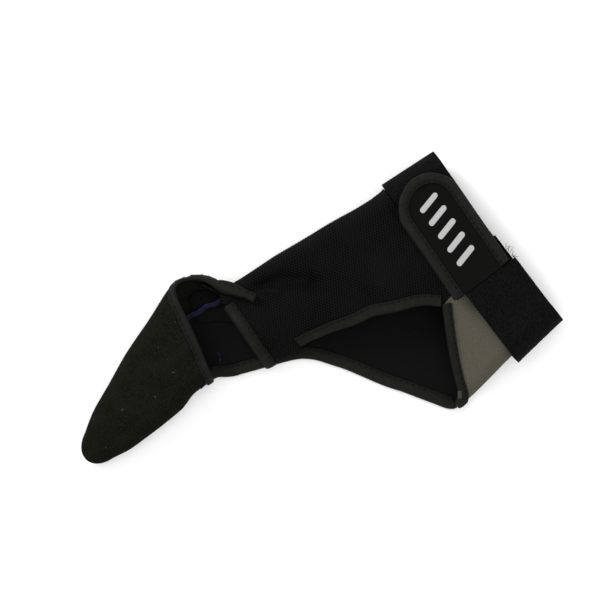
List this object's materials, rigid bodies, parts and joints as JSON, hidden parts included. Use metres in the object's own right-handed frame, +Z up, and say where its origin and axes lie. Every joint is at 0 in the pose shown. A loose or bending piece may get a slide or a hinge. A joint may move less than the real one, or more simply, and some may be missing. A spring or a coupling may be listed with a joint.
{
  "type": "one-finger fishing casting glove",
  "caption": "Fingerless casting glove with one closed finger stall, net back, elastic wrist strap and pull tab, shown lying flat on its palm.",
  "frame": {"origin": "under the middle of the glove's box, on the surface that the palm side lies on", "axes": "+X towards the wrist with the finger stall pointing to -X, +Y towards the thumb side, +Z up through the back of the hand"},
  "size_m": [0.1894, 0.1106, 0.0257],
  "materials": {
    "net_cloth": "matt black coarse air mesh",
    "palm_cloth": "matt black synthetic suede",
    "stall_suede": "matt dark olive suede",
    "gusset_cloth": "grey stretch cloth",
    "elastic": "matt black ribbed elastic",
    "tab_face": "smooth black patch",
    "binding_tape": "matt dark olive grey tape",
    "seam_cloth": "matt black cloth with a blue thread"
  },
  "bodies": {
    "root": {"back_panel": "net_cloth", "palm_panel": "palm_cloth", "side_gusset": "gusset_cloth", "finger_stall": "stall_suede", "cuff_band": "elastic", "wrist_strap": "elastic", "strap_tab": "tab_face", "tab_binding": "binding_tape", "stall_mouth_binding": "binding_tape", "back_front_binding": "binding_tape", "back_opening_binding": "binding_tape", "gusset_binding": "binding_tape", "palm_edge_binding": "binding_tape", "thumb_hole_binding": "binding_tape", "stall_seam_roll": "seam_cloth"}
  },
  "joints": []
}
